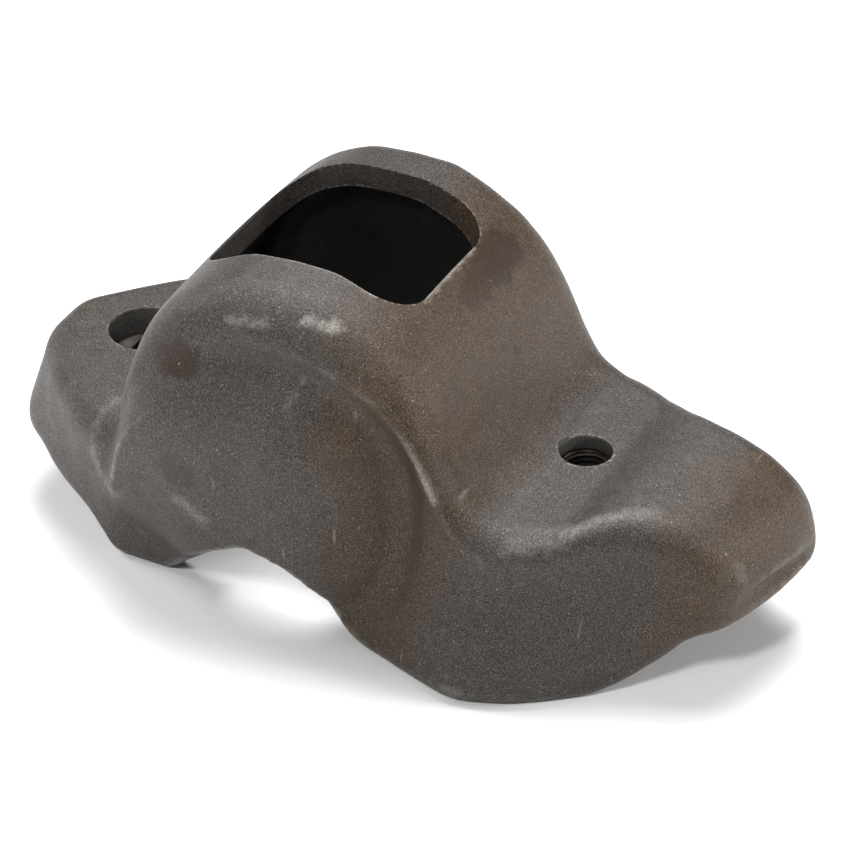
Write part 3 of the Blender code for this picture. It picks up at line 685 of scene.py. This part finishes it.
WARM_TINT = (1.14, 0.88, 0.62, 1)
# Pale iron of rubbed edges and scuffs, also the colour of the painted highlights on ridges and the hump's
# shoulder
WEAR_AND_HIGHLIGHT_PALE = (0.36, 0.34, 0.31, 1)
BRIGHT_SPECK = (0.36, 0.33, 0.30, 1)
# Near-black painted shade for the cavity, the holes' walls and the window's cut face
HOLLOW_SHADE_BLACK = (0.004, 0.004, 0.004, 1)
BROWN_FILM = (0.030, 0.020, 0.014, 1)
GREY_FILM = (0.05, 0.045, 0.04, 1)
RUBBER_DUST = (0.070, 0.062, 0.054, 1)


def node(tree, kind, **sockets):
    """Node of a kind with its inputs set or linked, by name with _ for a space, or by place as i0, i1."""
    made = tree.nodes.new(kind)
    for name, value in sockets.items():
        by_place = name[0] == "i" and name[1:].isdigit()
        plug = made.inputs[int(name[1:]) if by_place else name.replace("_", " ")]
        if isinstance(value, bpy.types.NodeSocket):
            tree.links.new(value, plug)
        else:
            plug.default_value = value
    return made


def start_material(name):
    """Empty node material with its Principled shader and Object coordinates."""
    material = bpy.data.materials.new(name)
    material.use_nodes = True
    tree = material.node_tree
    shader = tree.nodes["Principled BSDF"]
    place = tree.nodes.new("ShaderNodeTexCoord").outputs["Object"]
    return material, tree, shader, place


def cloud(tree, place, scale, detail=3.0, roughness=0.55, distortion=0.0):
    """Noise factor on the given coordinates."""
    return node(tree, "ShaderNodeTexNoise", Vector=place, Scale=scale, Detail=detail,
                Roughness=roughness, Distortion=distortion).outputs["Fac"]


def span(tree, value, low, high, out_low=0.0, out_high=1.0):
    """Value carried from one range to another, clamped."""
    return node(tree, "ShaderNodeMapRange", Value=value, From_Min=low, From_Max=high,
                To_Min=out_low, To_Max=out_high).outputs["Result"]


def maths(tree, operation, a, b=0.0):
    """Result of a Math node."""
    made = node(tree, "ShaderNodeMath", i0=a, i1=b)
    made.operation = operation
    return made.outputs[0]


def blend_colour(tree, share, a, b, mode="MIX"):
    """Colour mixed from a to b by share."""
    made = tree.nodes.new("ShaderNodeMix")
    made.data_type = "RGBA"
    made.blend_type = mode
    for index, value in ((0, share), (6, a), (7, b)):
        if isinstance(value, bpy.types.NodeSocket):
            tree.links.new(value, made.inputs[index])
        else:
            made.inputs[index].default_value = value
    return made.outputs[2]


def marks(tree, name):
    """Value painted on the mesh under this name."""
    made = tree.nodes.new("ShaderNodeAttribute")
    made.attribute_name = name
    return made.outputs["Fac"]


def add_bump(tree, shader, strength, distance, height):
    """Bump from a height, linked to the shader."""
    bump = node(tree, "ShaderNodeBump", Strength=strength, Distance=distance, Height=height)
    tree.links.new(bump.outputs["Normal"], shader.inputs["Normal"])


def cast_iron(settings):
    """Scale-skinned iron: mottled brown grey, rust stains, rubbed edges with painted highlights, painted
    shade, grain and scratches.
    """
    material, tree, shader, place = start_material("scale_skinned_iron")
    mottle = cloud(tree, place, 38, 4, 0.6)
    blotch = cloud(tree, place, 130, 5, 0.65, 0.3)
    grain = cloud(tree, place, 1500, 3, 0.7)
    fine = cloud(tree, place, 3300, 2, 0.8)
    iron = tuple(settings.iron)
    dark = tuple(settings.iron_dark_and_shade)
    pale = tuple(settings.iron_pale)
    rust = tuple(settings.rust)
    tone = blend_colour(tree, span(tree, mottle, 0.38, 0.68, 0.0, 0.40), iron, dark)
    tone = blend_colour(tree, span(tree, blotch, 0.45, 0.75, 0.0, 0.22), tone, pale)
    # Painted shade: the shade mark darkens the front of the lower wall and the valley with the dark scale
    # colour
    tone = blend_colour(tree, maths(tree, "MULTIPLY", marks(tree, "shade"), 0.55), tone, dark)
    tone = blend_colour(tree, span(tree, grain, 0.36, 0.56, 0.0, 0.9), tone, dark)
    tone = blend_colour(tree, span(tree, fine, 0.53, 0.66, 0.0, 0.9), tone, pale)
    warm = maths(tree, "MULTIPLY", marks(tree, "warm"), span(tree, blotch, 0.30, 0.60, 0.85, 1.0))
    warm = maths(tree, "MAXIMUM", warm, span(tree, cloud(tree, place, 21, 3, 0.55), 0.50, 0.72, 0.0, 0.35))
    tone = blend_colour(tree, warm, tone, WARM_TINT, "MULTIPLY")
    stain = maths(tree, "MULTIPLY", marks(tree, "stain"), span(tree, grain, 0.35, 0.6, 0.65, 0.95))
    tone = blend_colour(tree, stain, tone, rust)
    # Pale rubbed edges and scuffs, partly painted highlights on the ridges and the hump's shoulder
    wear_and_highlight = maths(tree, "MULTIPLY", marks(tree, "wear_and_highlight"), span(tree, grain, 0.38, 0.58, 1.0, 0.35))
    tone = blend_colour(tree, wear_and_highlight, tone, WEAR_AND_HIGHLIGHT_PALE)
    streak_place = node(tree, "ShaderNodeMapping", Vector=place, Rotation=(0.3, 0.5, 0.9),
                        Scale=(420, 24, 60)).outputs["Vector"]
    streaks = span(tree, cloud(tree, streak_place, 1.0, 2, 0.5), 0.70, 0.76, 0.0, 0.7)
    tone = blend_colour(tree, maths(tree, "MULTIPLY", streaks, span(tree, mottle, 0.5, 0.6)), tone, pale)
    specks = span(tree, cloud(tree, place, 1300, 1, 0.4), 0.75, 0.79, 0.0, 0.8)
    tone = blend_colour(tree, specks, tone, BRIGHT_SPECK)
    # Painted shade: near black in the cavity and on the holes' walls, faint on the window's cut face
    tone = blend_colour(tree, maths(tree, "MULTIPLY", marks(tree, "inner"), 0.92), tone, HOLLOW_SHADE_BLACK)
    tree.links.new(tone, shader.inputs["Base Color"])
    shader.inputs["Metallic"].default_value = 0.2
    gloss = maths(tree, "ADD", span(tree, blotch, 0.3, 0.7, 0.34, 0.48),
                  span(tree, grain, 0.3, 0.7, -0.05, 0.08))
    gloss = maths(tree, "SUBTRACT", gloss, maths(tree, "MULTIPLY", marks(tree, "wear_and_highlight"), 0.12))
    tree.links.new(gloss, shader.inputs["Roughness"])
    shader.inputs["Specular IOR Level"].default_value = 0.32
    height = maths(tree, "ADD", maths(tree, "MULTIPLY", grain, 1.0), maths(tree, "MULTIPLY", blotch, 1.6))
    height = maths(tree, "ADD", height, maths(tree, "MULTIPLY", fine, 0.4))
    add_bump(tree, shader, 0.6, 0.00035, height)
    return material


def dull_steel(name, steel, roughness):
    """Machined steel that has dulled: fine turning lines, brown film and small dents."""
    material, tree, shader, place = start_material(name)
    film = cloud(tree, place, 160, 4, 0.6)
    fine = cloud(tree, place, 2200, 2, 0.6)
    tone = blend_colour(tree, span(tree, film, 0.4, 0.7, 0.0, 0.7), tuple(steel), BROWN_FILM)
    tone = blend_colour(tree, span(tree, fine, 0.5, 0.7, 0.0, 0.4), tone, GREY_FILM)
    tree.links.new(tone, shader.inputs["Base Color"])
    shader.inputs["Metallic"].default_value = 0.85
    tree.links.new(span(tree, film, 0.3, 0.7, roughness - 0.08, roughness + 0.2), shader.inputs["Roughness"])
    lines_place = node(tree, "ShaderNodeMapping", Vector=place, Scale=(60, 60, 4200)).outputs["Vector"]
    lines = cloud(tree, lines_place, 1.0, 1, 0.4)
    height = maths(tree, "ADD", lines, maths(tree, "MULTIPLY", fine, 0.8))
    add_bump(tree, shader, 0.3, 0.00008, height)
    return material


def black_rubber(rubber):
    """Moulded rubber with dust in its grain."""
    material, tree, shader, place = start_material("lock_rubber")
    dust = cloud(tree, place, 210, 4, 0.6)
    fine = cloud(tree, place, 1900, 2, 0.6)
    tone = blend_colour(tree, span(tree, dust, 0.5, 0.75, 0.0, 0.5), tuple(rubber), RUBBER_DUST)
    tree.links.new(tone, shader.inputs["Base Color"])
    tree.links.new(span(tree, fine, 0.3, 0.7, 0.62, 0.85), shader.inputs["Roughness"])
    add_bump(tree, shader, 0.4, 0.0001, fine)
    return material


# ---------------------------------------------------------------- operators

# Rust stains: place from the lock's axis at the flange's face, radius, strength
STAINS = [
    ((0.1167, 0.0290, 0.0482), 0.0060, 1.0), ((0.1171, 0.0180, 0.0484), 0.0065, 1.0),
    ((0.1181, 0.0080, 0.0478), 0.0055, 0.8), ((0.1185, 0.0000, 0.0470), 0.0050, 0.6),
    ((0.0480, -0.0575, 0.0365), 0.0050, 1.0), ((0.0420, -0.0575, 0.0345), 0.0040, 0.9),
    ((-0.0164, -0.0320, -0.0083), 0.0050, 0.8), ((-0.0120, -0.0330, -0.0070), 0.0035, 0.7),
    ((0.0300, 0.0540, -0.0150), 0.0070, 0.6), ((0.1050, 0.0580, -0.0200), 0.0080, 0.5),
    ((0.0900, 0.0560, 0.0420), 0.0050, 0.8), ((0.1900, 0.0380, -0.0060), 0.0060, 0.7),
    ((0.0690, -0.0579, 0.0418), 0.0013, 1.0), ((0.1318, 0.0076, 0.0245), 0.0014, 1.0),
    ((0.1290, 0.0020, 0.0290), 0.0012, 0.9), ((0.0474, -0.0650, -0.0030), 0.0055, 0.6),
    ((0.0348, -0.0600, -0.0206), 0.0080, 0.35),
]

# Pale scuffs and painted highlights: both ends from the lock's axis at the flange's face, half-width,
# strength
SCUFFS_AND_HIGHLIGHTS = [
    # Pale streak down the near-left corner ridge: partly rubbing, partly painted highlight
    ((0.0090, -0.0490, -0.0060), (0.0078, -0.0512, -0.0174), 0.0026, 0.26),
    ((0.0100, -0.0515, -0.0190), (0.0205, -0.0573, -0.0254), 0.0030, 0.22),
    ((0.0130, -0.0408, -0.0006), (0.0090, -0.0470, -0.0040), 0.0022, 0.22),
    # Scuff on the dome
    ((0.0477, -0.0648, -0.0141), (0.0557, -0.0651, -0.0191), 0.0026, 0.35),
    # Painted highlights on the hump's near shoulder
    ((0.0890, -0.0520, 0.0577), (0.0985, -0.0496, 0.0563), 0.0024, 0.80),
    ((0.0640, -0.0555, 0.0530), (0.0770, -0.0550, 0.0553), 0.0022, 0.50),
    # Scuff on the near wall under the hump's shoulder
    ((0.0860, -0.0617, 0.0299), (0.0890, -0.0570, 0.0390), 0.0014, 0.25),
    # Painted highlight along the flange's near ridge
    ((0.1593, -0.0539, -0.0037), (0.1700, -0.0480, -0.0015), 0.0034, 0.34),
    ((0.1720, -0.0470, -0.0010), (0.1816, -0.0365, 0.0029), 0.0036, 0.27),
    ((0.1830, -0.0350, 0.0029), (0.1942, -0.0273, 0.0042), 0.0034, 0.28),
    # Scuffs on the right end's near corner and on the window's rim
    ((0.2210, -0.0215, -0.0112), (0.2237, -0.0195, -0.0172), 0.0024, 0.22),
    ((0.1120, -0.0185, 0.0527), (0.1120, 0.0160, 0.0533), 0.0010, 1.0),
    ((0.0860, -0.0315, 0.0625), (0.1000, -0.0315, 0.0590), 0.0010, 0.6),
]


# How proud of its neighbours a vertex has to stand to look rubbed and lit as a painted highlight, and over
# what rise it gets fully so
RUB_START = 0.00005
RUB_SPAN = 0.00012
# How far a mark's wavy edge can reach, in its own radii, and how near a cut a vertex belongs to it
MARK_REACH = 1.6
CUT_BAND = 0.0004


def clamped(value):
    """Value held between 0 and 1."""
    return max(0.0, min(1.0, value))


def rubbed(vert):
    """Share to which a vertex stands proud of its neighbours."""
    around = [edge.other_vert(vert).co for edge in vert.link_edges]
    middle = sum(around, Vector()) / len(around)
    return clamped(((vert.co - middle).dot(vert.normal) - RUB_START) / RUB_SPAN)


def painted_hollow_shade(x, y, z):
    """Share of painted shade at a place: in the cavity, on the window's cut face and in the two holes."""
    outside = hump(x, HUMP_LEFT_RUN, HUMP_RIGHT_RUN, HUMP_HEIGHT)
    framed = (abs(x - HUMP_CENTRE) < WINDOW_LENGTH / 2 + CUT_BAND
              and abs(y) < WINDOW_WIDTH / 2 + CUT_BAND and z > 0.015)
    inside = (abs(y) < HALF_WIDTH - HUMP_SIDE_WALL + 0.002 and 0.015 < x < 0.145
              and z < outside - HUMP_WALL * 0.9)
    if framed:
        dark = clamped((outside - z) / HUMP_WALL * 0.9 - 0.35) * 0.12
    else:
        dark = 1.0 if inside else 0.0
    bored = min(math.hypot(x, y) - LOCK_MOUTH_R, math.hypot(x - HOLE_SPACING, y) - INSERT_MOUTH_R)
    return max(dark, 0.8) if bored < CUT_BAND and z < -CUT_BAND else dark


def tints_and_shade(x, y, z, facing, drift):
    """Shares of brown tint, of painted shade and of the right end's nose; facing is towards the front."""
    flank = curve([(0.085, 0), (0.112, 1), (0.138, 1), (0.158, 0)], x + drift)
    flank *= curve([(0.0, 0.35), (0.020, 1)], z + drift)
    nose = curve([(0.196, 0), (0.216, 1)], x - z * 0.25 + drift)
    valley = curve([(0.098, 0), (0.116, 1), (0.140, 1), (0.150, 0)], x - z * 0.25 + drift)
    valley *= curve([(-0.010, 1), (0.030, 1), (0.045, 0)], z) * (1.0 if y < -0.045 else 0.0)
    # Painted shade: the lower wall darker where it faces the front, the valley between dome and flange
    # darker still
    belly = curve([(-0.030, 1), (0.0, 0.35), (0.012, 0)], z + drift) * curve([(0.095, 0), (0.125, 1)], x)
    return max(flank, nose, valley * 0.9), max(belly * 0.75 * max(0.0, facing), valley * 0.9), nose


def strongest_pale_mark(place, pale_marks):
    """Strength of the strongest pale mark at a place, scuff and painted highlight alike."""
    found = 0.0
    for start, end, radius, strength in pale_marks:
        along = clamped((place - start).dot(end - start) / (end - start).length_squared)
        gap = (place - start.lerp(end, along)).length
        if gap < radius * MARK_REACH:
            wobble = noise.noise(place * 420) * 0.8
            found = max(found, strength * clamped(1.2 - gap / radius + wobble))
    return found


def stained(place, spots):
    """Strength of the strongest rust stain at a place."""
    found = 0.0
    for centre, radius, strength in spots:
        gap = (place - centre).length
        if gap < radius * MARK_REACH:
            wobble = noise.noise(place * 300) * 0.5 + noise.noise(place * 95) * 0.7
            found = max(found, strength * clamped((1.5 - gap / radius + wobble) * 2))
    return found


def paint_marks(piece):
    """Paint stains, rubbed edges and scuffs with painted highlights, painted shade in the hollows, on the
    front of the lower wall and in the valley, and tints on the vertices.
    """
    names = ("stain", "wear_and_highlight", "inner", "warm", "shade")
    for name in names:
        piece.data.attributes.new(name, "FLOAT", "POINT")
    painted = [piece.data.attributes[name].data for name in names]
    mesh = bmesh.new()
    mesh.from_mesh(piece.data)
    origin = Vector((LOCK_X, LOCK_Y, SKIRT_DEPTH))
    spots = [(Vector(centre) + origin, radius, strength) for centre, radius, strength in STAINS]
    pale_marks = [(Vector(start) + origin, Vector(end) + origin, radius, strength)
              for start, end, radius, strength in SCUFFS_AND_HIGHLIGHTS]
    for vert in mesh.verts:
        x, y, z = vert.co - origin
        drift = noise.noise(vert.co * 35) * 0.012
        # The shade share is painted shade
        warm, shade, nose = tints_and_shade(x, y, z, -vert.normal.y, drift)
        # Rubbed ridges and scuffs, partly painted highlights
        wear_and_highlight = max(rubbed(vert) * (1 - nose * 0.7), strongest_pale_mark(vert.co, pale_marks))
        values = (stained(vert.co, spots), wear_and_highlight, painted_hollow_shade(x, y, z), warm, shade)
        for layer, value in zip(painted, values):
            layer[vert.index].value = value
    mesh.free()


class WEARCAP_OT_casting(bpy.types.Operator):
    """Model the casting: hump, window, flanges, skirts, channel and both holes"""
    bl_idname = "wearcap.casting"
    bl_label = "Casting"

    def execute(self, context):
        settings = context.scene.wearcap_casting
        piece = casting_blank()
        cut(piece, [channel_tool(), cavity_tool()])
        rough_skin(piece, settings)
        cut(piece, [window_tool(),
                    hole_tool("lock_hole_tool", 0, LOCK_MOUTH_R, LOCK_BORE_R, -LOCK_LEDGE_DEPTH,
                              HOLE_CHAMFER),
                    hole_tool("lifting_hole_tool", HOLE_SPACING, INSERT_MOUTH_R, INSERT_SEAT_R,
                              -INSERT_DEPTH, HOLE_CHAMFER)])
        paint_marks(piece)
        piece.data.materials.clear()
        piece.data.materials.append(cast_iron(settings))
        piece.data.shade_smooth()
        piece.data.set_sharp_from_angle(angle=math.radians(50))
        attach(piece, "cap")
        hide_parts("tooth_casting")
        return {"FINISHED"}


def fit(piece, body, stands_for, material):
    """Give a finished piece its material and its body, and hide the node that it stands for."""
    piece.data.materials.clear()
    piece.data.materials.append(material)
    piece.data.shade_smooth()
    piece.data.set_sharp_from_angle(angle=math.radians(35))
    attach(piece, body)
    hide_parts(stands_for)


class WEARCAP_OT_lock(bpy.types.Operator):
    """Model the turning lock: pin, sleeve, seal, stop plug, washer and snap ring"""
    bl_idname = "wearcap.lock"
    bl_label = "Turning Lock"

    def execute(self, context):
        settings = context.scene.wearcap_lock
        level = lock_levels()
        steel = dull_steel("lock_steel", settings.steel, 0.5)
        ring_steel = dull_steel("ring_steel", settings.steel, 0.42)
        rubber = black_rubber(settings.rubber)
        fit(turning_pin(), "lock", "lock_pin", steel)
        fit(open_ring(), "lock", "lock_snap_ring", ring_steel)
        fit(rubber_sleeve(), "cap", "lock_sleeve", rubber)
        fit(stop_block(), "cap", "lock_stop_plug", steel)
        fit(soft_ring("seal_ring", PIN_R + GAP, LOCK_MOUTH_R - GAP, level["seal_low"], level["seal_top"],
                      0.0006), "cap", "lock_dirt_seal", rubber)
        fit(soft_ring("thrust_ring", PIN_R + GAP, LOCK_BORE_R - GAP, level["washer_low"],
                      level["washer_top"], 0.0003), "cap", "lock_thrust_washer", ring_steel)
        return {"FINISHED"}


class WEARCAP_OT_insert(bpy.types.Operator):
    """Model the threaded bush in the lifting hole"""
    bl_idname = "wearcap.insert"
    bl_label = "Lifting Bush"

    def execute(self, context):
        steel = dull_steel("bush_steel", context.scene.wearcap_lock.bush, 0.45)
        fit(threaded_bush(), "cap", "thread_insert", steel)
        return {"FINISHED"}


# Name, place, size and power of each lamp; all of them face AIM
LAMPS = [("top_lamp", (-0.15, 0.45, 1.25), 0.8, 25),
         ("left_lamp", (-1.1, -0.05, 0.75), 0.45, 7),
         ("right_lamp", (1.1, 0.35, 0.55), 0.45, 9),
         ("sheen_lamp", (0.06, -0.80, 0.90), 0.15, 6.4),
         ("low_sheen_lamp", (-0.55, -1.05, 0.42), 0.18, 1.4)]
AIM = (0, 0, 0.05)
WORLD_STRENGTH = 0.13
FLOOR_HALF_SIZE = 6
CAMERA_PLACE = (LOCK_X + 0.5848, LOCK_Y - 0.9582, SKIRT_DEPTH + 0.7158)


def soft_light(name, place, size, power):
    """Square soft lamp at a place, turned to the part."""
    data = bpy.data.lights.new(name, "AREA")
    data.shape = "SQUARE"
    data.size = size
    data.energy = power
    lamp = bpy.data.objects.new(name, data)
    bpy.context.scene.collection.objects.link(lamp)
    lamp.location = place
    lamp.rotation_euler = (Vector(AIM) - Vector(place)).to_track_quat("-Z", "Y").to_euler()


class WEARCAP_OT_stage(bpy.types.Operator):
    """Lay the floor, hang the lamps and set the camera"""
    bl_idname = "wearcap.stage"
    bl_label = "Stage"

    def execute(self, context):
        settings = context.scene.wearcap_stage
        scene = context.scene
        mesh = bmesh.new()
        bmesh.ops.create_grid(mesh, x_segments=1, y_segments=1, size=FLOOR_HALF_SIZE)
        data = bpy.data.meshes.new("studio_floor")
        mesh.to_mesh(data)
        mesh.free()
        floor = bpy.data.objects.new("studio_floor", data)
        scene.collection.objects.link(floor)
        material = bpy.data.materials.new("pale_floor")
        material.use_nodes = True
        shader = material.node_tree.nodes["Principled BSDF"]
        shader.inputs["Base Color"].default_value = tuple(settings.floor)
        shader.inputs["Roughness"].default_value = 0.9
        shader.inputs["Specular IOR Level"].default_value = 0.1
        data.materials.append(material)

        world = bpy.data.worlds.new("studio")
        world.use_nodes = True
        world.node_tree.nodes["Background"].inputs["Color"].default_value = (1, 1, 1, 1)
        world.node_tree.nodes["Background"].inputs["Strength"].default_value = WORLD_STRENGTH
        scene.world = world
        scene.view_settings.view_transform = "Standard"

        for lamp in LAMPS:
            soft_light(*lamp)

        back = Vector((math.sin(settings.azimuth) * math.cos(settings.elevation),
                       -math.cos(settings.azimuth) * math.cos(settings.elevation),
                       math.sin(settings.elevation)))
        right = Vector((math.cos(settings.azimuth), math.sin(settings.azimuth), 0))
        turn = Matrix((right, back.cross(right), back)).transposed().to_4x4()
        turn.translation = Vector(CAMERA_PLACE)
        lens = bpy.data.cameras.new("camera")
        lens.sensor_width = 36
        lens.lens = settings.focal_length
        lens.clip_start = 0.01
        lens.clip_end = 20
        camera = bpy.data.objects.new("camera", lens)
        camera.matrix_world = turn
        scene.collection.objects.link(camera)
        scene.camera = camera
        return {"FINISHED"}


class WEARCAP_PT_panel(bpy.types.Panel):
    """Builds the wear cap piece by piece"""
    bl_idname = "WEARCAP_PT_panel"
    bl_label = "Wear Cap"
    bl_space_type = "VIEW_3D"
    bl_region_type = "UI"
    bl_category = "Wear Cap"

    def draw(self, context):
        layout = self.layout
        scene = context.scene
        for group, names in (
                (scene.wearcap_casting, ("skin_cell", "waviness", "iron", "iron_dark_and_shade", "iron_pale", "rust")),
                (scene.wearcap_lock, ("steel", "rubber", "bush")),
                (scene.wearcap_stage, ("azimuth", "elevation", "focal_length", "floor"))):
            for name in names:
                layout.prop(group, name)
        for operator in OPERATORS:
            layout.operator(operator.bl_idname)


OPERATORS = (WEARCAP_OT_casting, WEARCAP_OT_lock, WEARCAP_OT_insert, WEARCAP_OT_stage)
GROUPS = (("wearcap_casting", CastingSettings), ("wearcap_lock", LockSettings),
          ("wearcap_stage", StageSettings))


def register():
    for name, group in GROUPS:
        bpy.utils.register_class(group)
        setattr(bpy.types.Scene, name, bpy.props.PointerProperty(type=group))
    for made in OPERATORS + (WEARCAP_PT_panel,):
        bpy.utils.register_class(made)


def unregister():
    for made in reversed(OPERATORS + (WEARCAP_PT_panel,)):
        bpy.utils.unregister_class(made)
    for name, group in reversed(GROUPS):
        delattr(bpy.types.Scene, name)
        bpy.utils.unregister_class(group)


def main():
    register()
    bpy.ops.wearcap.casting()
    bpy.ops.wearcap.lock()
    bpy.ops.wearcap.insert()
    bpy.ops.wearcap.stage()


if __name__ == "__main__":
    main()
